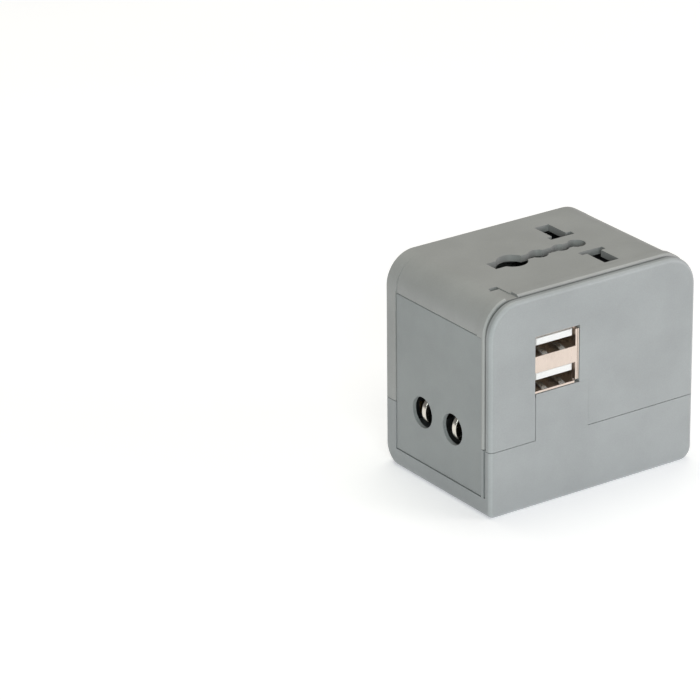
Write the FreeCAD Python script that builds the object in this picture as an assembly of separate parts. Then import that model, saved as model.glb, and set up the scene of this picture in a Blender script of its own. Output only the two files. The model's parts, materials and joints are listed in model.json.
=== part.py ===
import FreeCAD, Part

import math
import os

from FreeCAD import Vector

# Universal travel adapter, millimetres.
# +X right along the front (USB) face, +Y to the back, +Z up.
# Drawn with the plug carriages either side of x = 0; build() then moves every part so
# that the origin is the middle of the underside.

# ---- driving dimensions -------------------------------------------------------------
LEFT_X, RIGHT_X = -33.0, 30.5
BOTTOM_Z, TOP_Z = 2.0, 58.5
FRONT_Y, BACK_Y = -22.25, 22.25
MID_X = (LEFT_X + RIGHT_X) / 2
HALF_W = (RIGHT_X - LEFT_X) / 2
TOP_CORNER_R = 8.5
BOTTOM_LEFT_R = 1.8
BOTTOM_RIGHT_R = 3.5
FRONT_EDGE_R = 1.2
BACK_EDGE_R = 1.5
BACK_HEEL_R = 5.5

SEAM_Z = 19.9            # base shell below, front cover and top shell above
SEAM_GAP = 0.16
RELIEF = 0.35            # how far the sides and roof lie inside the rim and the strips
ROOF_Z = TOP_Z - RELIEF
ROOF_T = 1.8
FLOOR_T = 1.8
CAVITY_HALF = 28.65       # half the inside width
CAVITY_X = (MID_X - CAVITY_HALF, MID_X + CAVITY_HALF)
CAVITY_BACK_Y = 20.65

SLAB_BACK_Y = -20.2      # back of the front slab
GROOVE_BACK_Y = -19.4    # front of the top shell, across the parting groove
RIM_BACK_Y = -16.6       # back of the top shell's raised front rim
STRIP_Y = 17.5           # front of the plain strip at the back of each side
SLAB_DROP = 0.4          # the front slab's top lies this far below the rim

PANEL_Y = (-18.35, 17.4)
PANEL_Z = (7.1, 49.2)
PANEL_T = 1.0
PANEL_HALF = HALF_W - 0.2    # from the middle to a panel's face
PANEL_GAP = 0.12
WINDOW_Y = 13.2          # openings in the side walls behind the panels
WINDOW_Z = (14.6, 29.45)

USB_X = (-19.3, -5.9)
USB_Z = (32.4, 47.4)
USB_GAP = 0.12
TAB_X = (-19.2, -2.8)
TAB_FIT = 0.015          # half the tab's gap at its top and right, where it fits tightly

# Plug standards: pitches and pin sections.
US_PITCH = 12.7
US_BLADE = (6.3, 1.5)
US_TRAVEL = 18.3
EU_PITCH = 19.0
EU_PIN_R = 2.0
EU_TRAVEL = 19.0
UK_PITCH = 22.2
UK_PIN = (6.35, 3.97)
UK_EARTH = (7.92, 3.97)
UK_LENGTH = 17.7
UK_EARTH_LENGTH = 22.7

PLUG_Z = 20.8            # height of the side plugs' axes
SOCKET_X = 10.0          # line and neutral of the top socket, and of the UK plug
EARTH_X = SOCKET_X - 22.2

CARRIAGE_Y = 12.0
CARRIAGE_Z = (15.6, 29.2)
US_CARRIAGE_X = (-12.8, -6.6)
EU_CARRIAGE_X = (3.4, 9.6)
KNOB_Z = 26.8
KNOB_Y = (20.95, 22.15)
KNOB_HALF_Z = 3.9
STEM_HALF = 1.4
US_STEM_X = -9.7
EU_STEM_X = 6.5
US_KNOB_X = (-12.4, -4.6)
EU_KNOB_X = (2.6, 9.3)
TRACK_BACK_Y = 19.85

LINE_PIVOT = (6.8, 7.5)      # x, z of the line and neutral pins' axles
EARTH_PIVOT = (-9.5, 9.0)    # x, z of the earth pin's axle
AXLE_R = 1.25
LINE_HUB_R = 2.9
EARTH_HUB_R = 3.0

PLATE_Z = (29.5, 30.6)       # inner frame's plate
BOARD_Z = (30.9, 32.3)
CARRIER_Z = (34.0, 53.2)
SHUTTER_Z = (53.45, 54.65)
BUS_Y = (12.35, 12.65)
SCREWS = ((-27.0, -16.3), (24.5, -16.3), (-1.0, 17.6))
HEAD_Z = (6.2, 8.0)
SCREW_R = 1.1
BOSS_R = 2.1

BIG = 100.0


# ---- helpers ------------------------------------------------------------------------
def block(x, y, z):
    """A box from its low and high limits along X, Y and Z."""
    return Part.makeBox(x[1] - x[0], y[1] - y[0], z[1] - z[0], Vector(x[0], y[0], z[0]))


def rod(axis, start, length, radius):
    """A cylinder from start, running along X, Y or Z."""
    way = {"x": Vector(1, 0, 0), "y": Vector(0, 1, 0), "z": Vector(0, 0, 1)}[axis]
    return Part.makeCylinder(radius, length, Vector(*start), way)


def union(*shapes):
    """The shapes joined into one solid, with leftover seams removed."""
    first, rest = shapes[0], shapes[1:]
    return first.fuse(list(rest)).removeSplitter() if rest else first


def mirrored_y(shape):
    return shape.mirror(Vector(0, 0, 0), Vector(0, 1, 0))


def runs_along(edge, axis):
    ends = edge.Vertexes
    if len(ends) < 2:
        return False
    step = ends[1].Point.sub(ends[0].Point)
    return abs(abs((step.x, step.y, step.z)[axis]) - edge.Length) < 1e-6


def close(a, b):
    return abs(a - b) < 1e-3


def outline(half_width, top, radius, y):
    """An XZ outline with rounded top corners, extruded over y."""
    prism = block((MID_X - half_width, MID_X + half_width), y, (-1.0, top))
    corners = [e for e in prism.Edges if runs_along(e, 1) and close(e.CenterOfMass.z, top)]
    return prism.makeFillet(radius, corners)


def trimmed(shape, y, half_width, top, radius):
    """The shape cut back to an outline over one stretch of y."""
    waste = block((-BIG, BIG), y, (-BIG, BIG)).cut(outline(half_width, top, radius, y))
    return shape.cut(waste)


def above(shape, z):
    return shape.common(block((-BIG, BIG), (-BIG, BIG), (z, BIG)))


def coil(centre, axis, length, radius, wire_r, turns):
    """A helical spring that starts at centre and runs along X or Y."""
    pitch = (length - 2 * wire_r) / turns
    path = Part.makeHelix(pitch, pitch * turns, radius)
    start = Vector(radius, 0, 0)
    slope = Vector(0, 2 * math.pi * radius, pitch)
    section = Part.Wire([Part.makeCircle(wire_r, start, slope)])
    spring = Part.Wire(path.Edges).makePipeShell([section], True, True)
    turn = {"x": (Vector(0, 1, 0), 90), "y": (Vector(1, 0, 0), -90)}[axis]
    spring.translate(Vector(0, 0, wire_r))
    spring.rotate(Vector(0, 0, 0), *turn)
    spring.translate(Vector(*centre))
    return spring


# ---- housing ------------------------------------------------------------------------
def rounded_body(height):
    """The whole outer form as one solid block, before it is split into shells."""
    body = block((LEFT_X, RIGHT_X), (FRONT_Y, BACK_Y), (BOTTOM_Z, height))
    corners = ((LEFT_X, height, TOP_CORNER_R), (RIGHT_X, height, TOP_CORNER_R),
               (LEFT_X, BOTTOM_Z, BOTTOM_LEFT_R), (RIGHT_X, BOTTOM_Z, BOTTOM_RIGHT_R))
    for x, z, radius in corners:
        body = body.makeFillet(radius, [
            e for e in body.Edges
            if runs_along(e, 1) and close(e.CenterOfMass.x, x) and close(e.CenterOfMass.z, z)])
    heel_y, heel_z = BACK_Y - BACK_HEEL_R, BOTTOM_Z + BACK_HEEL_R
    heel = block((-BIG, BIG), (heel_y, BACK_Y + 1), (BOTTOM_Z - 1, heel_z))
    body = body.cut(heel.cut(rod("x", (-BIG, heel_y, heel_z), 2 * BIG, BACK_HEEL_R)))
    front = [e for e in body.Edges if close(e.CenterOfMass.y, FRONT_Y)]
    body = body.makeFillet(FRONT_EDGE_R, front)
    back = [e for e in body.Edges
            if close(e.CenterOfMass.y, BACK_Y) and e.CenterOfMass.z > heel_z + 1e-3]
    heel_ends = [e for e in body.Edges
                 if heel_y < e.CenterOfMass.y and e.CenterOfMass.z < heel_z
                 and close(abs(e.CenterOfMass.x - MID_X), HALF_W)]
    return body.makeFillet(BACK_EDGE_R, back + heel_ends)


def cavity(y):
    return outline(CAVITY_HALF, ROOF_Z - ROOF_T, TOP_CORNER_R - 3.0, y)


def side_pocket(sign, grow):
    """The recess for a side panel (grow > 0), or the panel's own plate (grow = 0)."""
    inner = PANEL_HALF - PANEL_T - grow
    outer = PANEL_HALF + (5 if grow else 0)
    x = (MID_X + inner, MID_X + outer) if sign > 0 else (MID_X - outer, MID_X - inner)
    y = (PANEL_Y[0] - grow, PANEL_Y[1] + grow)
    z = (PANEL_Z[0] - grow, PANEL_Z[1] + grow)
    return block(x, y, z)


def side_window(sign):
    x = (CAVITY_X[1] - 1, RIGHT_X) if sign > 0 else (LEFT_X, CAVITY_X[0] + 1)
    return block(x, (-WINDOW_Y, WINDOW_Y), WINDOW_Z)


def earth_slot(z):
    """The socket's earth opening: a rectangle and four round lobes joined by necks."""
    rect = block((EARTH_X - 4.2, EARTH_X + 4.2), (-2.1, 2.1), z)
    lobes = ((-9.9, 4.0), (-1.9, 2.6), (5.0, 2.2), (SOCKET_X, 2.4))
    neck = block((-8.0, SOCKET_X), (-1.4, 1.4), z)
    return union(rect, neck, *[rod("z", (x, 0, z[0]), z[1] - z[0], r) for x, r in lobes])


def live_slot(side, z):
    """One T-shaped line or neutral opening; side is +1 (line) or -1 (neutral)."""
    bar = block((6.3, 13.7), (5.5, 7.2), z)
    stem = block((SOCKET_X - 2.2, SOCKET_X + 2.2), (7.1, 14.4), z)
    slot = union(bar, stem)
    return slot if side > 0 else mirrored_y(slot)


def knob_track(knob_x, stem_x, travel):
    """The recess and arm slot that one slide knob runs in; travel is signed along X."""
    left = min(knob_x[0], knob_x[0] + travel) - 0.3
    right = max(knob_x[1], knob_x[1] + travel) + 0.3
    recess = block((left, right), (TRACK_BACK_Y, BIG), (KNOB_Z - 4.3, KNOB_Z + 4.3))
    slot_left = min(stem_x, stem_x + travel) - STEM_HALF - 0.3
    slot_right = max(stem_x, stem_x + travel) + STEM_HALF + 0.3
    slot = block((slot_left, slot_right), (CAVITY_BACK_Y - 3, BIG), (KNOB_Z - 1.7, KNOB_Z + 1.7))
    return recess, slot


def make_top_shell(body):
    roof = body.common(block((-BIG, BIG), (GROOVE_BACK_Y, BIG), (SEAM_Z + SEAM_GAP / 2, BIG)))
    roof = trimmed(roof, (RIM_BACK_Y, STRIP_Y), HALF_W - RELIEF, ROOF_Z, TOP_CORNER_R - RELIEF)
    roof = trimmed(roof, (STRIP_Y, BIG), HALF_W, ROOF_Z, TOP_CORNER_R)
    rim = [e for e in roof.Edges if close(e.CenterOfMass.y, GROOVE_BACK_Y)
           and e.CenterOfMass.z > SEAM_Z + 1]
    roof = roof.makeFillet(0.7, rim)
    shell = roof.cut(cavity((GROOVE_BACK_Y - 5, CAVITY_BACK_Y)))
    thick_y = (CAVITY_BACK_Y - 1.8, CAVITY_BACK_Y + 0.5)
    thick_z = (KNOB_Z - 5.1, KNOB_Z + 5.1)
    inner_wall = [block((CAVITY_X[0] - 0.5, -3.5), thick_y, thick_z),
                  block((1.5, CAVITY_X[1] + 0.5), thick_y, thick_z)]
    seats = [block((23.5, 24.9), y, (53.3, 57.0)) for y in ((15.7, 17.5), (-17.5, -15.7))]
    shell = union(shell, *inner_wall, *seats)
    cuts = [side_pocket(s, PANEL_GAP) for s in (-1, 1)] + [side_window(s) for s in (-1, 1)]
    cuts += knob_track(US_KNOB_X, US_STEM_X, -US_TRAVEL)
    cuts += knob_track(EU_KNOB_X, EU_STEM_X, EU_TRAVEL)
    through = (ROOF_Z - ROOF_T - 1, BIG)
    cuts += [earth_slot(through), live_slot(1, through), live_slot(-1, through)]
    # Clip pocket near the left end of the rim, with the clip's slot at its back.
    cuts += [block((-26.3, -22.7), (GROOVE_BACK_Y - 1, RIM_BACK_Y), (ROOF_Z - 0.3, BIG)),
             block((-26.1, -23.1), (RIM_BACK_Y - 0.1, -12.2), (ROOF_Z - 0.3, BIG)),
             block((-25.7, -23.2), (-12.3, -11.2), (ROOF_Z - ROOF_T - 3, BIG))]
    return shell.cut(cuts)


def make_front_cover():
    body = rounded_body(TOP_Z - SLAB_DROP)
    slab = body.common(block((-BIG, BIG), (-BIG, SLAB_BACK_Y), (SEAM_Z + SEAM_GAP / 2, BIG)))
    back_rim = [e for e in slab.Edges
                if close(e.CenterOfMass.y, SLAB_BACK_Y) and e.CenterOfMass.z > SEAM_Z + 1]
    slab = slab.makeFillet(0.25, back_rim)
    ring_y = (SLAB_BACK_Y, -17.6)
    ring = outline(CAVITY_HALF - 0.12, ROOF_Z - ROOF_T - 0.12, TOP_CORNER_R - 3.1, ring_y)
    ring = ring.cut(outline(CAVITY_HALF - 1.5, ROOF_Z - ROOF_T - 1.5, TOP_CORNER_R - 4.5, ring_y))
    cover = union(slab, above(ring, 31.2))
    usb = block((USB_X[0] - USB_GAP, USB_X[1] + USB_GAP), (-BIG, SLAB_BACK_Y + 1),
                (USB_Z[0] - 1, USB_Z[1] + USB_GAP))
    tab = block((TAB_X[0] - SEAM_GAP / 2, TAB_X[1] + TAB_FIT), (-BIG, SLAB_BACK_Y + 1),
                (0, USB_Z[0] - 0.1))
    return cover.cut([usb, tab])


def screw_boss(x, y):
    return rod("z", (x, y, BOTTOM_Z + 0.5), 9.8, 3.1)


def screw_bore(x, y):
    """The counterbore for a screw's head and the clearance hole above it."""
    return union(rod("z", (x, y, 0), HEAD_Z[1], 2.4), rod("z", (x, y, HEAD_Z[0]), 6.8, SCREW_R + 0.2))


def pin_pocket(x, half_y, hub_x, low_top, hub_top, wall):
    """The recess for a folded pin (wall = 0) or the tray around it (wall > 0)."""
    low = BOTTOM_Z + (0.5 if wall else -1.0)
    y = (-half_y - wall, half_y + wall)
    long_part = block((x[0] - wall, x[1] + wall), y, (low, low_top + wall))
    hub_part = block((hub_x[0] - wall, hub_x[1] + wall), y, (low, hub_top + wall))
    return union(long_part, hub_part)


def line_pocket(side, wall):
    half_y = UK_PIN[0] / 2 + 0.32
    pocket = pin_pocket((-16.8, 12.5), half_y, (1.2, 12.5), 6.7, 10.9, wall)
    pocket.translate(Vector(0, side * UK_PITCH / 2, 0))
    return pocket


def earth_pocket(wall):
    half_y = UK_EARTH[1] / 2 + 0.35
    return pin_pocket((-16.7, 20.6), half_y, (-13.2, -5.8), 10.65, 12.5, wall)


def make_base_shell(body):
    lower = body.common(block((-BIG, BIG), (-BIG, BIG), (-BIG, SEAM_Z - SEAM_GAP / 2)))
    hollow = block(CAVITY_X, (SLAB_BACK_Y, CAVITY_BACK_Y), (BOTTOM_Z + FLOOR_T, BIG))
    heel_y, heel_z = CAVITY_BACK_Y - BACK_HEEL_R + 1, BOTTOM_Z + BACK_HEEL_R
    lower_back = block((-BIG, BIG), (heel_y, BIG), (BOTTOM_Z - 1, heel_z))
    keep = lower_back.cut(rod("x", (-BIG, heel_y, heel_z), 2 * BIG, BACK_HEEL_R - 1))
    shell = lower.cut(hollow.cut(keep))
    trays = [line_pocket(1, 1.2), line_pocket(-1, 1.2), earth_pocket(1.2)]
    bosses = [screw_boss(x, y) for x, y in SCREWS]
    inside = block((LEFT_X + 1, RIGHT_X - 1), (FRONT_Y + 1, BACK_Y - 1), (BOTTOM_Z + 0.5, SEAM_Z))
    trays_and_bosses = [s.common(inside).common(body) for s in trays + bosses]
    tab = block((TAB_X[0] + SEAM_GAP / 2, TAB_X[1] - TAB_FIT), (FRONT_Y, SLAB_BACK_Y),
                (SEAM_Z - 2, USB_Z[0] - 0.1 - 2 * TAB_FIT))
    shell = union(shell, tab, *trays_and_bosses)
    grooves = [block(x, (SLAB_BACK_Y, GROOVE_BACK_Y), (PANEL_Z[0], BIG))
               for x in ((-BIG, LEFT_X + 0.5), (RIGHT_X - 0.5, BIG))]
    cuts = [line_pocket(1, 0), line_pocket(-1, 0), earth_pocket(0)]
    cuts += [screw_bore(x, y) for x, y in SCREWS] + grooves
    cuts += [side_pocket(s, PANEL_GAP) for s in (-1, 1)] + [side_window(s) for s in (-1, 1)]
    cuts += [axle(s * UK_PITCH / 2 - 4.5, 9.0, LINE_PIVOT, 0.02) for s in (-1, 1)]
    cuts.append(axle(-3.4, 6.8, EARTH_PIVOT, 0.02))
    return shell.cut(cuts)


def make_panel(sign, holes):
    panel = side_pocket(sign, 0)
    outer = [e for e in panel.Edges if close(abs(e.CenterOfMass.x - MID_X), PANEL_HALF)]
    panel = panel.makeFillet(0.2, outer)
    start_x = -BIG / 2 if sign < 0 else 1.0
    return panel.cut([rod("x", (start_x, y, PLUG_Z), BIG / 2, r) for y, r in holes])


def make_screws():
    screws = []
    for x, y in SCREWS:
        head = rod("z", (x, y, HEAD_Z[0]), HEAD_Z[1] - HEAD_Z[0], 2.1)
        cross_z = (HEAD_Z[0] - 1, HEAD_Z[0] + 0.8)
        slot_a = block((x - 1.4, x + 1.4), (y - 0.3, y + 0.3), cross_z)
        slot_b = block((x - 0.3, x + 0.3), (y - 1.4, y + 1.4), cross_z)
        screws.append(union(head, rod("z", (x, y, HEAD_Z[1]), 14.0, SCREW_R)).cut([slot_a, slot_b]))
    return Part.makeCompound(screws)


# ---- inner frame and socket ---------------------------------------------------------
def make_inner_frame():
    x = (CAVITY_X[0] + 0.3, CAVITY_X[1] - 0.3)
    plate = block(x, (-19.8, 18.6), PLATE_Z)
    openings = [block((-26.0, -14.0), (-9.0, 9.0), (29, 31)), block((16.5, 24.5), (-9.0, 9.0), (29, 31))]
    slots = [block((0.8, 4.7), (s * 12.5 - 0.4, s * 12.5 + 0.4), (29, 31)) for s in (-1, 1)]
    front_rail = block(x, (-13.9, -BUS_Y[1]), (16.0, PLATE_Z[0]))
    back_rail = block(x, (BUS_Y[1], 13.9), (16.0, 24.6))
    foot_z = 12.4
    bosses = [rod("z", (*s, foot_z), PLATE_Z[0] - foot_z, BOSS_R) for s in SCREWS]
    link = block((-2.1, 0.1), (13.5, 17.0), (16.0, 24.6))
    bores = [rod("z", (*s, foot_z - 1), 12.0, SCREW_R + 0.02) for s in SCREWS]
    frame = union(plate.cut(openings + slots), front_rail, back_rail, link, *bosses)
    return frame.cut(bores)


def make_socket_block():
    live = block((4.0, 17.0), (-17.0, 17.0), CARRIER_Z)
    earth = block((-18.7, 14.7), (-5.0, 5.0), CARRIER_Z)
    legs = [block((14.4, 16.8), (s * 15.4 - 1.2, s * 15.4 + 1.2), (PLATE_Z[1], 34.5)) for s in (-1, 1)]
    legs.append(block((12.4, 14.6), (-3.5, 3.5), (PLATE_Z[1], 34.5)))
    floor_z = CARRIER_Z[0] + 1.2
    pockets = [block((-17.4, 13.4), (-3.8, 3.8), (floor_z, BIG))]
    tails = []
    for s in (-1, 1):
        y = (5.2, 15.8) if s > 0 else (-15.8, -5.2)
        pockets.append(block((5.2, 15.8), y, (floor_z, BIG)))
        tails.append(block((8.4, 11.6), (s * 11.0 - 0.8, s * 11.0 + 0.8), (33, 36)))
    return union(live, earth, *legs).cut(pockets + tails)


def make_live_contact(side):
    """Line or neutral contact: a bottom strap, two broad leaves and a slim inner leaf."""
    floor_z = CARRIER_Z[0] + 1.2
    strap = block((7.0, 13.0), (5.6, 14.8), (floor_z + 0.1, floor_z + 0.6))
    leaves = [block((x - 0.25, x + 0.25), (8.4, 14.8), (floor_z + 0.1, 51.5)) for x in (7.45, 12.55)]
    inner = block((7.0, 13.0), (5.4, 5.8), (floor_z + 0.1, 51.5))
    tail = block((8.8, 11.2), (10.6, 11.1), (33.55, floor_z + 0.3))
    contact = union(strap, inner, tail, *leaves)
    return contact if side > 0 else mirrored_y(contact)


def make_earth_contact():
    floor_z = CARRIER_Z[0] + 1.2
    strap = block((-16.4, 12.4), (-2.9, 2.9), (floor_z + 0.1, floor_z + 0.6))
    leaves = [block((-16.4, 12.4), (s * 2.7 - 0.2, s * 2.7 + 0.2), (floor_z + 0.1, 51.5))
              for s in (-1, 1)]
    return union(strap, *leaves)


def make_bus_bar(side):
    """Long strip that the sliding plugs' wipers run on, with its riser, foot and top tab."""
    strip = block((-29.0, 26.5), BUS_Y, (17.6, 20.6))
    riser = block((1.0, 4.5), BUS_Y, (17.6, 33.5))
    foot = block((6.0, 9.0), BUS_Y, (12.4, 18.0))
    tab = block((1.0, 11.4), (10.4, BUS_Y[1]), (33.0, 33.5))
    bar = union(strip, riser, foot, tab)
    return bar if side > 0 else mirrored_y(bar)


def make_shutter():
    flaps = [block((5.0, 15.9), (s * 10.25 - 5.35, s * 10.25 + 5.35), SHUTTER_Z) for s in (-1, 1)]
    bridge = block((14.9, 15.9), (-15.6, 15.6), SHUTTER_Z)
    lugs = [block((5.0, 6.4), (s * 16.4 - 1.1, s * 16.4 + 1.1), SHUTTER_Z) for s in (-1, 1)]
    return union(bridge, *flaps, *lugs)


def make_shutter_springs():
    return Part.makeCompound([
        coil((6.5, s * 16.65, 54.3), "x", 16.9, 0.75, 0.17, 9) for s in (-1, 1)])


# ---- USB charger --------------------------------------------------------------------
USB_FACE_Y = FRONT_Y + 0.2
USB_BACK_Y = -6.0
PORT_X = (-18.95, -6.95)
PORTS_Z = ((42.15, 47.05), (32.95, 37.85))


def make_usb_shell():
    """The stacked shell: its left and top walls stand back, and its right flange is folded."""
    can = block(USB_X, (USB_FACE_Y, USB_BACK_Y), USB_Z)
    cuts = [block(PORT_X, (-BIG, USB_BACK_Y - 1.0), z) for z in PORTS_Z]
    cuts += [block((-BIG, PORT_X[0] + 0.1), (-BIG, USB_FACE_Y + 0.7), z) for z in PORTS_Z]
    cuts.append(block((-BIG, BIG), (-BIG, USB_FACE_Y + 0.6), (PORTS_Z[0][1] - 0.1, BIG)))
    cuts.append(block((USB_X[1] - 0.5, USB_X[1] - 0.38), (-BIG, USB_FACE_Y + 0.35), (-BIG, BIG)))
    corner_x = (PORT_X[1] - 0.2, BIG)
    cuts += [block(corner_x, (-BIG, USB_FACE_Y + 1.0), z)
             for z in ((USB_Z[1] - 0.8, BIG), (-BIG, USB_Z[0] + 0.8))]
    return can.cut(cuts)


def make_usb_tongue(port_z):
    """White insulator of one port: a back plug with the contact tongue under the port's top."""
    back = block((PORT_X[0] + 0.03, PORT_X[1] - 0.03), (USB_BACK_Y - 3.5, USB_BACK_Y - 1.02),
                 (port_z[0] + 0.03, port_z[1] - 0.03))
    tongue = block((PORT_X[0] + 0.45, PORT_X[1] - 0.45), (USB_FACE_Y + 0.7, USB_BACK_Y - 3.4),
                   (port_z[1] - 2.3, port_z[1] - 0.45))
    nose = [e for e in tongue.Edges if close(e.CenterOfMass.y, USB_FACE_Y + 0.7)]
    return union(back, tongue.makeFillet(0.25, nose))


def make_usb_contacts():
    strips = []
    for port_z in PORTS_Z:
        under = port_z[1] - 2.3
        for x in (-3.5, -1.0, 1.0, 3.5):
            middle = (PORT_X[0] + PORT_X[1]) / 2 + x
            strips.append(block((middle - 0.5, middle + 0.5), (USB_FACE_Y + 2.0, USB_BACK_Y - 3.6),
                                (under - 0.18, under)))
    return Part.makeCompound(strips)


def make_usb_grip_springs():
    """Two sprung tongues on the floor of each port, bowed up towards the plug."""
    springs = []
    for port_z in PORTS_Z:
        for x in (-3.2, 2.2):
            middle = (PORT_X[0] + PORT_X[1]) / 2 + x
            bow = rod("x", (middle - 0.8, USB_FACE_Y + 2.6, port_z[0] - 4.4), 1.6, 5.05)
            hollow = rod("x", (middle - 1.0, USB_FACE_Y + 2.6, port_z[0] - 4.4), 2.0, 4.85)
            over = block((-BIG, BIG), (-BIG, BIG), (port_z[0] + 0.02, BIG))
            springs.append(bow.cut(hollow).common(over))
    return Part.makeCompound(springs)


def make_circuit_board():
    return block((-28.0, 0.0), (-19.7, 18.4), BOARD_Z)


def make_transformer_core():
    low, top = BOARD_Z[1] + 0.6, 44.4
    bars = [block((-15.5, -2.5), (8.5, 15.5), z) for z in ((low, low + 2.2), (top - 2.2, top))]
    sides = [block((-15.5, -13.5), (8.5, 15.5), (low, top)), block((-4.5, -2.5), (8.5, 15.5), (low, top))]
    centre = rod("z", (-9.0, 12.0, low), top - low, 2.2)
    return union(centre, *bars, *sides)


def make_transformer_winding():
    low, top = BOARD_Z[1] + 2.9, 42.1
    return rod("z", (-9.0, 12.0, low), top - low, 4.4).cut(rod("z", (-9.0, 12.0, low - 1), 20, 2.25))


def make_can(x, y, radius, height):
    """An electrolytic capacitor: a can with a rolled neck near the foot."""
    can = rod("z", (x, y, BOARD_Z[1]), height, radius)
    crown = [e for e in can.Edges if close(e.CenterOfMass.z, BOARD_Z[1] + height)]
    can = can.makeFillet(0.5, crown)
    return can.cut(Part.makeTorus(radius + 0.15, 0.45, Vector(x, y, BOARD_Z[1] + 1.6)))


def make_chip():
    body = block((-26.5, -21.5), (-13.0, -9.0), (BOARD_Z[1] + 0.15, BOARD_Z[1] + 1.6))
    legs = [block((x - 0.2, x + 0.2), (-14.0, -8.0), (BOARD_Z[1], BOARD_Z[1] + 0.4))
            for x in (-25.9, -24.6, -23.4, -22.1)]
    return union(body, *legs)


# ---- fuse ---------------------------------------------------------------------------
FUSE_X, FUSE_Z = 22.3, 39.0
FUSE_R = 3.15
FUSE_HALF = 12.7


def make_fuse_tube():
    tube = rod("y", (FUSE_X, -FUSE_HALF + 0.5, FUSE_Z), 2 * FUSE_HALF - 1.0, FUSE_R - 0.3)
    return tube


def make_fuse_caps():
    caps = []
    for s in (-1, 1):
        start = -FUSE_HALF if s < 0 else FUSE_HALF - 6.0
        cap = rod("y", (FUSE_X, start, FUSE_Z), 6.0, FUSE_R)
        caps.append(cap.cut(rod("y", (FUSE_X, -FUSE_HALF + 0.5, FUSE_Z), 2 * FUSE_HALF - 1, FUSE_R - 0.3)))
    return Part.makeCompound(caps)


def make_fuse_clips():
    clips = []
    for y in (-11.5, 8.5):
        ring = rod("y", (FUSE_X, y, FUSE_Z), 3.0, FUSE_R + 0.45).cut(
            rod("y", (FUSE_X, y - 1, FUSE_Z), 5.0, FUSE_R + 0.02))
        mouth = block((FUSE_X - 2.0, FUSE_X + 2.0), (y - 1, y + 4), (FUSE_Z, BIG))
        foot = block((FUSE_X - 1.6, FUSE_X + 1.6), (y, y + 3.0), (34.4, FUSE_Z - FUSE_R - 0.2))
        clips.append(union(ring.cut(mouth), foot))
    return Part.makeCompound(clips)


def make_fuse_holder():
    base = block((FUSE_X - 4.2, FUSE_X + 4.2), (-13.4, 13.4), (PLATE_Z[1], 34.4))
    return base.cut(block((FUSE_X - 3.0, FUSE_X + 3.0), (-7.5, 7.5), (PLATE_Z[1] + 1.2, BIG)))


# ---- sliding side plugs -------------------------------------------------------------
def make_carriage(x, stem_x, cuts):
    carriage = block(x, (-CARRIAGE_Y, CARRIAGE_Y), CARRIAGE_Z)
    pocket = block((stem_x - 1.55, stem_x + 1.55), (4.2, CARRIAGE_Y + 1), (KNOB_Z - 1.55, KNOB_Z + 1.55))
    return carriage.cut([pocket] + cuts)


def make_us_carriage():
    cuts = []
    for s in (-1, 1):
        y = s * US_PITCH / 2
        cuts.append(rod("x", (US_CARRIAGE_X[0] - 1, y, PLUG_Z), 5.5, 3.5))
        cuts.append(rod("x", (US_CARRIAGE_X[0], y, PLUG_Z), 10, 2.06))
    return make_carriage(US_CARRIAGE_X, US_STEM_X, cuts)


def make_us_rotor(side):
    """Round insulator that carries one flat blade and lets it twist."""
    y = side * US_PITCH / 2
    rotor = rod("x", (-12.75, y, PLUG_Z), 4.3, 3.44)
    tail = rod("x", (-8.5, y, PLUG_Z), 2.3, 2.0)
    slot = block((-13.0, -9.0), (y - 0.77, y + 0.77), (PLUG_Z - 3.17, PLUG_Z + 3.17))
    return union(rotor, tail).cut(slot)


def make_us_blade(side):
    y = side * US_PITCH / 2
    half = US_BLADE[0] / 2
    tip_x, root_x, sagitta = -32.55, -9.05, 1.35
    arc = Part.Arc(Vector(tip_x + sagitta, 0, PLUG_Z - half), Vector(tip_x, 0, PLUG_Z),
                   Vector(tip_x + sagitta, 0, PLUG_Z + half)).toShape()
    corners = [Vector(tip_x + sagitta, 0, PLUG_Z + half), Vector(root_x, 0, PLUG_Z + half),
               Vector(root_x, 0, PLUG_Z - half), Vector(tip_x + sagitta, 0, PLUG_Z - half)]
    sides = [Part.makeLine(a, b) for a, b in zip(corners, corners[1:])]
    face = Part.Face(Part.Wire([arc] + sides))
    blade = face.extrude(Vector(0, US_BLADE[1], 0))
    blade.translate(Vector(0, y - US_BLADE[1] / 2, 0))
    rim = [e for e in blade.Edges if e.CenterOfMass.x < tip_x + 1.0 and not runs_along(e, 1)]
    return blade.makeFillet(0.35, rim).cut(rod("y", (tip_x + 6.5, y - 2, PLUG_Z), 4, 1.4))


def make_eu_carriage():
    cuts = [rod("x", (EU_CARRIAGE_X[0] + 0.7, s * EU_PITCH / 2, PLUG_Z), 10, EU_PIN_R + 0.02)
            for s in (-1, 1)]
    return make_carriage(EU_CARRIAGE_X, EU_STEM_X, cuts)


EU_PIN_X = (EU_CARRIAGE_X[0] + 0.8, RIGHT_X - 0.5)
SLEEVE_X = EU_CARRIAGE_X[1] + 0.2


def make_eu_pins():
    pins = []
    for s in (-1, 1):
        y = s * EU_PITCH / 2
        pin = rod("x", (EU_PIN_X[0], y, PLUG_Z), EU_PIN_X[1] - EU_PIN_X[0], EU_PIN_R)
        tip = [e for e in pin.Edges if close(e.CenterOfMass.x, EU_PIN_X[1])]
        core = rod("x", (SLEEVE_X - 0.3, y, PLUG_Z), 11, 1.5)
        waist = rod("x", (SLEEVE_X, y, PLUG_Z), 10.0, EU_PIN_R + 1).cut(core)
        pins.append(pin.makeFillet(1.4, tip).cut(waist))
    return Part.makeCompound(pins)


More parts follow.
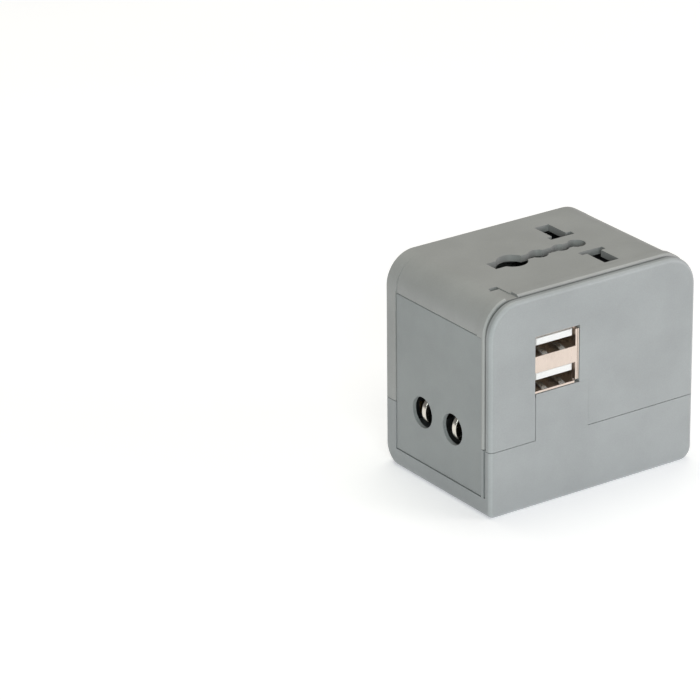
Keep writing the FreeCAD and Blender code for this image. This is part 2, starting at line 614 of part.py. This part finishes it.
def make_eu_sleeves():
    sleeves = []
    for s in (-1, 1):
        y = s * EU_PITCH / 2
        sleeve = rod("x", (SLEEVE_X + 0.02, y, PLUG_Z), 9.96, EU_PIN_R)
        sleeves.append(sleeve.cut(rod("x", (SLEEVE_X - 0.3, y, PLUG_Z), 11, 1.52)))
    return Part.makeCompound(sleeves)


def make_wipers(x):
    """Two sprung contacts on a carriage's ends, just off the bus bars."""
    pads = []
    for s in (-1, 1):
        y = (CARRIAGE_Y, CARRIAGE_Y + 0.17) if s > 0 else (-CARRIAGE_Y - 0.17, -CARRIAGE_Y)
        pads.append(block((x[0] + 1.2, x[1] - 1.2), y, (17.9, 20.3)))
    return Part.makeCompound(pads)


def make_knob(knob_x, stem_x):
    plate = block(knob_x, KNOB_Y, (KNOB_Z - KNOB_HALF_Z, KNOB_Z + KNOB_HALF_Z))
    upright = [e for e in plate.Edges if runs_along(e, 1)]
    plate = plate.makeFillet(1.0, upright)
    middle = (knob_x[0] + knob_x[1]) / 2
    grooves = [block((middle + i * 1.3 - 0.3, middle + i * 1.3 + 0.3), (KNOB_Y[1] - 0.4, BIG),
                     (KNOB_Z - 2.9, KNOB_Z + 2.9)) for i in range(-2, 3)]
    stem = block((stem_x - STEM_HALF, stem_x + STEM_HALF), (9.4, KNOB_Y[0] + 0.1),
                 (KNOB_Z - STEM_HALF, KNOB_Z + STEM_HALF))
    return union(plate.cut(grooves), stem)


def make_knob_spring(stem_x):
    return coil((stem_x, 4.25, KNOB_Z), "y", 5.1, 1.05, 0.16, 6)


# ---- fold-out pins on the underside --------------------------------------------------
def axle(y, length, pivot, grow=0.0):
    return rod("y", (pivot[0], y, pivot[1]), length, AXLE_R + grow)


def make_uk_axles():
    half = UK_PITCH / 2
    return Part.makeCompound([axle(half - 4.4, 8.8, LINE_PIVOT), axle(-half - 4.4, 8.8, LINE_PIVOT),
                              axle(-3.3, 6.6, EARTH_PIVOT)])


def folded_pin(pivot, hub_r, section, reach, way, axis_drop, y):
    """A fold-out pin lying along X: way is -1 or +1, axis_drop is its axis below the pivot."""
    width, thick = section
    z_mid = pivot[1] - axis_drop
    root_x, tip_x = pivot[0] - way * 0.75, pivot[0] + way * reach
    x = (min(root_x, tip_x), max(root_x, tip_x))
    shank = block(x, (-width / 2, width / 2), (z_mid - thick / 2, z_mid + thick / 2))
    tip = [e for e in shank.Edges if close(e.CenterOfMass.x, tip_x)]
    shank = shank.makeFillet(0.9, tip)
    hub = rod("y", (pivot[0], -width / 2, pivot[1]), width, hub_r)
    pin = union(shank, hub).cut(rod("y", (pivot[0], -BIG / 2, pivot[1]), BIG, AXLE_R + 0.05))
    pin.translate(Vector(0, y, 0))
    return pin


def sleeve_space(section, y, inset, x):
    width, thick = section
    z_mid = LINE_PIVOT[1] - 3.2
    return block(x, (y - width / 2 + inset, y + width / 2 - inset),
                 (z_mid - thick / 2 + inset, z_mid + thick / 2 - inset))


def make_uk_live_pin(side):
    y = side * UK_PITCH / 2
    reach = UK_LENGTH + LINE_PIVOT[1] - BOTTOM_Z
    pin = folded_pin(LINE_PIVOT, LINE_HUB_R, UK_PIN, reach, -1, 3.2, y)
    sleeve_x = (LINE_PIVOT[0] - 15.0, LINE_PIVOT[0] - 5.7)
    waist = sleeve_space(UK_PIN, y, -0.5, sleeve_x).cut(sleeve_space(UK_PIN, y, 0.7, sleeve_x))
    return pin.cut(waist)


def make_uk_sleeve(side):
    y = side * UK_PITCH / 2
    sleeve_x = (LINE_PIVOT[0] - 14.98, LINE_PIVOT[0] - 5.72)
    hole_x = (sleeve_x[0] - 1, sleeve_x[1] + 1)
    return sleeve_space(UK_PIN, y, 0, sleeve_x).cut(sleeve_space(UK_PIN, y, 0.68, hole_x))


def make_uk_earth_pin():
    reach = UK_EARTH_LENGTH + EARTH_PIVOT[1] - BOTTOM_Z
    section = (UK_EARTH[1], UK_EARTH[0])
    return folded_pin(EARTH_PIVOT, EARTH_HUB_R, section, reach, 1, 2.7, 0)


# ---- build --------------------------------------------------------------------------
def build():
    body = rounded_body(TOP_Z)
    half_us, half_eu = US_PITCH / 2, EU_PITCH / 2
    parts = {
        "top_shell": make_top_shell(body),
        "front_cover": make_front_cover(),
        "base_shell": make_base_shell(body),
        "left_panel": make_panel(-1, ((-half_us, 4.1), (half_us, 4.1))),
        "right_panel": make_panel(1, ((-half_eu, 2.35), (half_eu, 2.35))),
        "housing_screws": make_screws(),
        "inner_frame": make_inner_frame(),
        "socket_block": make_socket_block(),
        "line_contact": make_live_contact(1),
        "neutral_contact": make_live_contact(-1),
        "earth_contact": make_earth_contact(),
        "line_bus_bar": make_bus_bar(1),
        "neutral_bus_bar": make_bus_bar(-1),
        "socket_shutter": make_shutter(),
        "shutter_springs": make_shutter_springs(),
        "usb_shell": make_usb_shell(),
        "usb_upper_tongue": make_usb_tongue(PORTS_Z[0]),
        "usb_lower_tongue": make_usb_tongue(PORTS_Z[1]),
        "usb_contacts": make_usb_contacts(),
        "usb_grip_springs": make_usb_grip_springs(),
        "charger_board": make_circuit_board(),
        "transformer_core": make_transformer_core(),
        "transformer_winding": make_transformer_winding(),
        "input_capacitor": make_can(-23.0, 12.0, 4.0, 13.0),
        "output_capacitor": make_can(-24.0, -1.0, 3.15, 11.0),
        "charger_chip": make_chip(),
        "fuse_tube": make_fuse_tube(),
        "fuse_caps": make_fuse_caps(),
        "fuse_clips": make_fuse_clips(),
        "fuse_holder": make_fuse_holder(),
        "us_carriage": make_us_carriage(),
        "us_front_rotor": make_us_rotor(-1),
        "us_back_rotor": make_us_rotor(1),
        "us_front_blade": make_us_blade(-1),
        "us_back_blade": make_us_blade(1),
        "us_wipers": make_wipers(US_CARRIAGE_X),
        "us_slide_knob": make_knob(US_KNOB_X, US_STEM_X),
        "us_knob_spring": make_knob_spring(US_STEM_X),
        "eu_carriage": make_eu_carriage(),
        "eu_pins": make_eu_pins(),
        "eu_pin_sleeves": make_eu_sleeves(),
        "eu_wipers": make_wipers(EU_CARRIAGE_X),
        "eu_slide_knob": make_knob(EU_KNOB_X, EU_STEM_X),
        "eu_knob_spring": make_knob_spring(EU_STEM_X),
        "uk_axles": make_uk_axles(),
        "uk_line_pin": make_uk_live_pin(1),
        "uk_line_sleeve": make_uk_sleeve(1),
        "uk_neutral_pin": make_uk_live_pin(-1),
        "uk_neutral_sleeve": make_uk_sleeve(-1),
        "uk_earth_pin": make_uk_earth_pin(),
    }
    for shape in parts.values():
        shape.translate(Vector(-MID_X, 0, -BOTTOM_Z))
    return parts


os.makedirs("parts", exist_ok=True)
for node, shape in build().items():
    shape.exportStep("parts/" + node + ".step")
    print(node, shape.isValid(), len(shape.Solids), round(shape.Volume, 2))
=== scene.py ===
import json
import math

import bpy
from mathutils import Matrix, Vector


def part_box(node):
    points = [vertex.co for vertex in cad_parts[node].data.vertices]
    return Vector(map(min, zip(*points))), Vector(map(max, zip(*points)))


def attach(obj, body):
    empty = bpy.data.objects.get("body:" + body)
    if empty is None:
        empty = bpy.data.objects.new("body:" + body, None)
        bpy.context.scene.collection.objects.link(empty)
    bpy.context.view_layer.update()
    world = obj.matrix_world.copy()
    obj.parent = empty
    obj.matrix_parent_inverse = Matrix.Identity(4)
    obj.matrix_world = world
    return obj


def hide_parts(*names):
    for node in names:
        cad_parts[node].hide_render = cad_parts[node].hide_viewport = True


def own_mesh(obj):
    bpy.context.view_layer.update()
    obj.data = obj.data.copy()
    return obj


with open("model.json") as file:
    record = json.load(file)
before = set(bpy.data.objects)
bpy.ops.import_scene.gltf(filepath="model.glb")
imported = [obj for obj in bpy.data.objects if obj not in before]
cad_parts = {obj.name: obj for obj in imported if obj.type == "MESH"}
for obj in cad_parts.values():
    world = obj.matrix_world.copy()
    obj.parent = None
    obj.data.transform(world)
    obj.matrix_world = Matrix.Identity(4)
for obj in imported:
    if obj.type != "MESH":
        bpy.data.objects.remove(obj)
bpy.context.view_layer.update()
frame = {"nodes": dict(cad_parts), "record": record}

scene = bpy.context.scene
nodes = frame["nodes"]
slot_of = {p["node"]: p["material_slot"] for p in frame["record"]["subparts"]}

# Blender works in metres; small sizes are written in millimetres, as 0.5 * MM.
MM = 0.001
TURN = 2 * math.pi


# ---- material helpers ----------------------------------------------------------------
def new_material(name):
    """A new material, its shader, and a node maker that takes values or sockets by input name."""
    material = bpy.data.materials.new(name)
    material.use_nodes = True
    tree = material.node_tree
    shader = tree.nodes["Principled BSDF"]

    def make(kind, **inputs):
        node = tree.nodes.new(kind)
        for key, value in inputs.items():
            socket = node.inputs[key.replace("_", " ")]
            if isinstance(value, bpy.types.NodeSocket):
                tree.links.new(value, socket)
            else:
                socket.default_value = value
        return node

    coordinates = tree.nodes.new("ShaderNodeTexCoord")
    make.place = coordinates.outputs["Object"]
    make.facing = coordinates.outputs["Normal"]
    make.link = tree.links.new
    return material, shader, make


def noise(make, scale, detail=3.0, rough=0.5, stretch=None):
    """Noise with about scale cells per metre, drawn out along an axis by stretch."""
    place = make.place
    if stretch:
        place = make("ShaderNodeMapping", Vector=place, Scale=stretch).outputs["Vector"]
    return make("ShaderNodeTexNoise", Vector=place, Scale=scale, Detail=detail,
                Roughness=rough).outputs["Fac"]


def ramp(make, fac, low, high, start=0.35, end=0.65):
    """Colours from low to high as fac goes from start to end."""
    node = make("ShaderNodeValToRGB", Fac=fac)
    node.color_ramp.elements[0].position = start
    node.color_ramp.elements[1].position = end
    node.color_ramp.elements[0].color = (*low, 1.0)
    node.color_ramp.elements[1].color = (*high, 1.0)
    return node.outputs["Color"]


def spread(make, fac, low, high, start=0.3, end=0.7):
    """A number from low to high as fac goes from start to end."""
    return make("ShaderNodeMapRange", Value=fac, From_Min=start, From_Max=end,
                To_Min=low, To_Max=high).outputs["Result"]


def bump(make, height, strength, depth, under=None):
    """The normal of a relief whose depth is in metres, laid on the relief under it."""
    node = make("ShaderNodeBump", Height=height, Strength=strength, Distance=depth)
    if under is not None:
        make.link(under, node.inputs["Normal"])
    return node.outputs["Normal"]


def tint(colour, factor):
    return tuple(min(1.0, c * factor) for c in colour)


# How far a surface faces the front, from 0 to 1, where its painted highlight band starts, is at
# its full strength, begins to fade, and ends.
HIGHLIGHT_START, HIGHLIGHT_FULL, HIGHLIGHT_FADES, HIGHLIGHT_END = 0.12, 0.35, 0.90, 0.99


def painted_front_highlight(make, colour, gain):
    """The colour with a painted highlight, made lighter by gain where a surface curves away from
    facing the front.
    """
    split = make("ShaderNodeSeparateXYZ", Vector=make.facing)
    forward = make("ShaderNodeMapRange", Value=split.outputs["Y"], From_Min=0.0, From_Max=-1.0)
    highlight_ramp = make("ShaderNodeValToRGB", Fac=forward.outputs["Result"])
    stops = highlight_ramp.color_ramp.elements
    stops[0].position = HIGHLIGHT_START
    stops[0].color = (1.0, 1.0, 1.0, 1.0)
    stops[1].position = HIGHLIGHT_END
    stops[1].color = (1.0, 1.0, 1.0, 1.0)
    for position in (HIGHLIGHT_FULL, HIGHLIGHT_FADES):
        stops.new(position).color = (gain, gain, gain, 1.0)
    lit = make("ShaderNodeVectorMath")
    lit.operation = "MULTIPLY"
    make.link(colour, lit.inputs[0])
    make.link(highlight_ramp.outputs["Color"], lit.inputs[1])
    return lit.outputs["Vector"]


# ---- kinds of material ---------------------------------------------------------------
def plastic(name, colour, roughness, grain=6500, depth=0.02 * MM, mottle=0.05, coat=0.0,
            highlight_gain=1.0):
    """Moulded plastic: spark-eroded grain, faint flow mottling and uneven sheen; a gain other
    than 1 adds a painted highlight on rounded front edges.
    """
    material, shader, make = new_material(name)
    cloud = noise(make, scale=55, detail=4.0, rough=0.6)
    wash = ramp(make, cloud, low=tint(colour, 1 - mottle), high=tint(colour, 1 + mottle))
    speck = noise(make, scale=2600, detail=2.0)
    fleck = ramp(make, speck, low=(0.94, 0.94, 0.94), high=(1.0, 1.0, 1.0), start=0.3, end=0.7)
    mix = make("ShaderNodeMix")
    mix.data_type = "RGBA"
    mix.blend_type = "MULTIPLY"
    mix.inputs["Factor"].default_value = 1.0
    make.link(wash, mix.inputs["A"])
    make.link(fleck, mix.inputs["B"])
    tone = mix.outputs["Result"]
    # Painted highlight: the colour made lighter on rounded front edges.
    if highlight_gain != 1.0:
        tone = painted_front_highlight(make, tone, highlight_gain)
    make.link(tone, shader.inputs["Base Color"])

    smear = noise(make, scale=240, rough=0.6)
    sheen = spread(make, smear, low=roughness - 0.05, high=roughness + 0.06)
    make.link(sheen, shader.inputs["Roughness"])
    waves = noise(make, scale=160, detail=2.0, rough=0.4)
    relief = bump(make, waves, strength=0.12, depth=0.04 * MM)
    fine = noise(make, scale=grain, detail=2.0)
    relief = bump(make, fine, strength=0.35, depth=depth, under=relief)
    make.link(relief, shader.inputs["Normal"])
    shader.inputs["Specular IOR Level"].default_value = 0.4
    shader.inputs["Coat Weight"].default_value = coat
    shader.inputs["Coat Roughness"].default_value = 0.25
    return material


def metal(name, colour, roughness, brush=(1.0, 1.0, 1.0), wear=0.12):
    """Plated or drawn metal: fine lines along the brush direction and a patchy tarnish."""
    material, shader, make = new_material(name)
    patches = noise(make, scale=260, detail=5.0, rough=0.65)
    tone = ramp(make, patches, low=tint(colour, 1 - wear), high=tint(colour, 1 + wear / 2),
                start=0.3, end=0.7)
    make.link(tone, shader.inputs["Base Color"])
    lines = noise(make, scale=3200, rough=0.6, stretch=brush)
    sheen = spread(make, lines, low=roughness - 0.06, high=roughness + 0.1)
    make.link(sheen, shader.inputs["Roughness"])
    relief = bump(make, patches, strength=0.1, depth=0.03 * MM)
    relief = bump(make, lines, strength=0.25, depth=0.01 * MM, under=relief)
    make.link(relief, shader.inputs["Normal"])
    shader.inputs["Metallic"].default_value = 1.0
    return material


def laminate(name):
    """Circuit board: solder mask with raised tracks showing through it."""
    material, shader, make = new_material(name)
    cells = make("ShaderNodeTexBrick", Vector=make.place, Scale=420.0, Mortar_Size=0.03)
    tracks = cells.outputs["Fac"]
    green = ramp(make, tracks, low=(0.015, 0.10, 0.035), high=(0.05, 0.20, 0.07),
                 start=0.2, end=0.8)
    make.link(green, shader.inputs["Base Color"])
    sheen = spread(make, noise(make, scale=900), low=0.25, high=0.4)
    make.link(sheen, shader.inputs["Roughness"])
    make.link(bump(make, tracks, strength=0.4, depth=0.04 * MM), shader.inputs["Normal"])
    return material


def winding(name):
    """Enamelled wire laid side by side round an upright bobbin."""
    material, shader, make = new_material(name)
    wave = make("ShaderNodeTexWave", Vector=make.place, Scale=330.0, Distortion=0.4)
    wave.bands_direction = "Z"
    wires = wave.outputs["Fac"]
    tone = ramp(make, wires, low=(0.22, 0.07, 0.02), high=(0.72, 0.33, 0.14), start=0.1, end=0.9)
    make.link(tone, shader.inputs["Base Color"])
    make.link(bump(make, wires, strength=1.0, depth=0.2 * MM), shader.inputs["Normal"])
    sheen = spread(make, noise(make, scale=700), low=0.25, high=0.4)
    make.link(sheen, shader.inputs["Roughness"])
    shader.inputs["Metallic"].default_value = 0.7
    return material


# ---- materials of the pieces ---------------------------------------------------------
BRUSHED = 0.03
ALONG_X, ALONG_Y, ALONG_Z = (BRUSHED, 1.0, 1.0), (1.0, BRUSHED, 1.0), (1.0, 1.0, BRUSHED)
# The three greys are lit and shaded copies of one housing grey: painted light and painted shade,
# set part by part and tuned for these lights. The edge gain is a painted highlight. The real
# housing may be one colour.
ROOF_GREY_AS_LIT = (0.352, 0.357, 0.349)
FRONT_GREY_AS_LIT = (0.330, 0.345, 0.348)
PANEL_GREY_AS_LIT = (0.306, 0.324, 0.324)
PAINTED_HIGHLIGHT_GAIN = 1.22

materials = {
    "housing_plastic": plastic("satin_grey_abs_painted_light", ROOF_GREY_AS_LIT, 0.44, highlight_gain=PAINTED_HIGHLIGHT_GAIN),
    "frame_plastic": plastic("black_polycarbonate", (0.022, 0.022, 0.024), 0.4),
    "socket_plastic": plastic("dark_polycarbonate", (0.030, 0.031, 0.034), 0.42),
    "sleeve_plastic": plastic("black_sleeve", (0.012, 0.012, 0.013), 0.35, grain=4200),
    "contact_brass": metal("pressed_brass", (0.78, 0.58, 0.28), 0.24, ALONG_Z),
    "plated_pins": metal("nickel_plate", (0.74, 0.70, 0.63), 0.2, ALONG_X, wear=0.1),
    "steel": metal("zinc_plate", (0.60, 0.60, 0.61), 0.3),
    "spring_steel": metal("spring_steel", (0.60, 0.59, 0.57), 0.28, ALONG_Y),
    "usb_metal": metal("tinned_shell", (0.70, 0.60, 0.53), 0.3, ALONG_Z, wear=0.08),
    "usb_insulator": plastic("white_insulator", (0.80, 0.80, 0.79), 0.32, mottle=0.02, coat=0.2),
    "usb_contact_metal": metal("gold_flash", (0.85, 0.62, 0.26), 0.2, ALONG_Y),
    "board_laminate": laminate("solder_mask"),
    "ferrite": plastic("ferrite", (0.035, 0.035, 0.037), 0.6, grain=2400, depth=0.06 * MM),
    "copper_wire": winding("enamelled_winding"),
    "can_sleeve": plastic("shrink_sleeve", (0.015, 0.020, 0.05), 0.25, coat=0.3),
    "chip_epoxy": plastic("moulded_epoxy", (0.018, 0.018, 0.019), 0.55, grain=5200),
    "fuse_ceramic": plastic("ceramic", (0.72, 0.69, 0.62), 0.22, mottle=0.03, coat=0.4),
    "fuse_cap_metal": metal("plated_cap", (0.66, 0.65, 0.62), 0.25, ALONG_Y),
}
# Copies of the housing plastic with painted light and shade: the front cover and base with the
# painted highlight, the side panels darker as painted shade.
front_lit_copy = plastic("front_grey_abs_painted_light", FRONT_GREY_AS_LIT, 0.44, highlight_gain=PAINTED_HIGHLIGHT_GAIN)
panel_lit_copy = plastic("panel_grey_abs_painted_shade", PANEL_GREY_AS_LIT, 0.46)
lit_copy_of = {"front_cover": front_lit_copy, "base_shell": front_lit_copy,
            "left_panel": panel_lit_copy, "right_panel": panel_lit_copy}
for name, node in nodes.items():
    node.data.materials.clear()
    node.data.materials.append(lit_copy_of.get(name, materials[slot_of[name]]))


# ---- springs ------------------------------------------------------------------------
KNOB_COIL_RADIUS, KNOB_WIRE_RADIUS, KNOB_TURNS = 1.05 * MM, 0.16 * MM, 6
SHUTTER_COIL_RADIUS, SHUTTER_WIRE_RADIUS, SHUTTER_TURNS = 0.75 * MM, 0.17 * MM, 9
STEPS_PER_TURN, WIRE_SIDES = 28, 10
# How much the turns crowd towards both ends, where 0 spaces them evenly.
END_CROWDING = 0.045


def coil_points(length, radius, wire, turns):
    """Points round the wire, ring after ring: two places across the coil and one along it."""
    steps = STEPS_PER_TURN * turns
    for step in range(steps + 1):
        share = step / steps
        crowded = share - END_CROWDING * math.sin(TURN * share)
        along = wire + (length - 2 * wire) * crowded
        angle = TURN * turns * share
        for side in range(WIRE_SIDES):
            tilt = TURN * side / WIRE_SIDES
            out = radius + wire * math.cos(tilt)
            yield math.cos(angle) * out, math.sin(angle) * out, along + wire * math.sin(tilt)


def tube_faces(first, rings):
    """Quads from ring to ring, whose points are numbered from first, and a cap at each end."""
    for ring in range(rings - 1):
        for side in range(WIRE_SIDES):
            a = first + ring * WIRE_SIDES + side
            b = first + ring * WIRE_SIDES + (side + 1) % WIRE_SIDES
            yield a, b, b + WIRE_SIDES, a + WIRE_SIDES
    for ring in (0, rings - 1):
        corner = first + ring * WIRE_SIDES
        yield tuple(range(corner, corner + WIRE_SIDES))


def spring(name, replaced, body, starts, axis, length, radius, wire, turns):
    """Coil springs, one from each start, as one mesh; wire is the wire's radius."""
    vertices, faces = [], []
    for start in starts:
        first = len(vertices)
        for u, v, along in coil_points(length, radius, wire, turns):
            place = {"x": (along, u, v), "y": (u, along, v)}[axis]
            vertices.append(Vector(start) + Vector(place))
        faces.extend(tube_faces(first, STEPS_PER_TURN * turns + 1))
    mesh = bpy.data.meshes.new(name)
    mesh.from_pydata(vertices, [], faces)
    mesh.validate()
    piece = bpy.data.objects.new(name, mesh)
    scene.collection.objects.link(piece)
    for polygon in mesh.polygons:
        polygon.use_smooth = True
    mesh.materials.append(materials["spring_steel"])
    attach(piece, body)
    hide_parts(replaced)
    return piece


def knob_spring(side):
    low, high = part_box(side + "_knob_spring")
    start = ((low.x + high.x) / 2, low.y, (low.z + high.z) / 2)
    free = high.y - low.y
    piece = spring(side + "_knob_coil", side + "_knob_spring", side + "_plug", [start], "y",
                   free, KNOB_COIL_RADIUS, KNOB_WIRE_RADIUS, KNOB_TURNS)
    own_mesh(piece)


def shutter_springs():
    """Two springs side by side, whose outer sides reach the sides of the CAD pair's box."""
    low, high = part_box("shutter_springs")
    free = high.x - low.x
    inset = SHUTTER_COIL_RADIUS + SHUTTER_WIRE_RADIUS
    ys = (low.y + inset, high.y - inset)
    z = (low.z + high.z) / 2
    piece = spring("shutter_coils", "shutter_springs", "housing", [(low.x, y, z) for y in ys],
                   "x", free, SHUTTER_COIL_RADIUS, SHUTTER_WIRE_RADIUS, SHUTTER_TURNS)
    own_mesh(piece)


knob_spring("us")
knob_spring("eu")
shutter_springs()


# ---- floor and light -----------------------------------------------------------------
TABLE_HALF = 4.0
TABLE_GLOW, TABLE_GLOW_COLOUR = 0.33, (0.95, 0.95, 1.0, 1.0)
WORLD_GLOW = 0.21
LAMPS_AIM = (0.0, 0.0, 28 * MM)


def floor():
    material, shader, make = new_material("white_table")
    tone = ramp(make, noise(make, scale=6), low=(0.90, 0.90, 0.895), high=(0.93, 0.93, 0.925))
    make.link(tone, shader.inputs["Base Color"])
    shader.inputs["Roughness"].default_value = 0.8
    shader.inputs["Emission Color"].default_value = TABLE_GLOW_COLOUR
    shader.inputs["Emission Strength"].default_value = TABLE_GLOW
    mesh = bpy.data.meshes.new("table")
    corners = [(x * TABLE_HALF, y * TABLE_HALF, 0)
               for x, y in ((-1, -1), (1, -1), (1, 1), (-1, 1))]
    mesh.from_pydata(corners, [], [(0, 1, 2, 3)])
    table = bpy.data.objects.new("table", mesh)
    scene.collection.objects.link(table)
    mesh.materials.append(material)


def softbox(name, place, side, power, colour):
    """A square lamp that faces the object; place and side are in metres, power in watts."""
    light = bpy.data.lights.new(name, "AREA")
    light.shape = "RECTANGLE"
    light.size = side
    light.size_y = side
    light.energy = power
    light.color = colour
    lamp = bpy.data.objects.new(name, light)
    lamp.location = place
    lamp.rotation_euler = (Vector(LAMPS_AIM) - Vector(place)).to_track_quat("-Z", "Y").to_euler()
    scene.collection.objects.link(lamp)


floor()
softbox("key_box", place=(-0.50, -0.90, 0.40), side=0.5, power=4.6, colour=(0.90, 1.0, 0.985))
softbox("fill_box", place=(0.75, -0.75, 0.25), side=0.6, power=4.6, colour=(1.0, 0.94, 0.98))
softbox("roof_box", place=(0.1, 0.25, 1.1), side=0.9, power=7.0, colour=(1.0, 0.985, 0.90))

world = bpy.data.worlds.new("studio")
scene.world = world
world.use_nodes = True
world.node_tree.nodes["Background"].inputs["Color"].default_value = (1.0, 1.0, 1.0, 1.0)
world.node_tree.nodes["Background"].inputs["Strength"].default_value = WORLD_GLOW
scene.view_settings.view_transform = "Standard"


# ---- camera -------------------------------------------------------------------------
# The camera stands in front of the object's left corner, DISTANCE from TARGET, a point near the
# object's middle. It aims to the left of TARGET, so the object is right of the picture's middle.
AZIMUTH, ELEVATION, ROLL = math.radians(-37.286), math.radians(23.143), math.radians(-0.548)
DISTANCE, AIM_LEFT, AIM_UP = 1.1, 46.8 * MM, 0.86 * MM
TARGET = Vector((1.25 * MM, 3.05 * MM, 27.25 * MM))
# Blender takes the lens and the sensor in millimetres, and the clip distances in metres.
LENS, SENSOR_WIDTH = 224.78, 36.0
CLIP_NEAR, CLIP_FAR = 0.05, 20.0

back = Vector((math.sin(AZIMUTH) * math.cos(ELEVATION),
               -math.cos(AZIMUTH) * math.cos(ELEVATION), math.sin(ELEVATION)))
right = Vector((math.cos(AZIMUTH), math.sin(AZIMUTH), 0.0))
up = back.cross(right)
eye = TARGET + DISTANCE * back
aim = TARGET - AIM_LEFT * right + AIM_UP * up
camera_data = bpy.data.cameras.new("camera")
camera_data.lens = LENS
camera_data.sensor_width = SENSOR_WIDTH
camera_data.clip_start = CLIP_NEAR
camera_data.clip_end = CLIP_FAR
camera = bpy.data.objects.new("camera", camera_data)
turn = (aim - eye).normalized().to_track_quat("-Z", "Y").to_matrix().to_4x4()
roll = Matrix.Rotation(ROLL, 4, "Z")
camera.matrix_world = Matrix.Translation(eye) @ turn @ roll
scene.collection.objects.link(camera)
scene.camera = camera
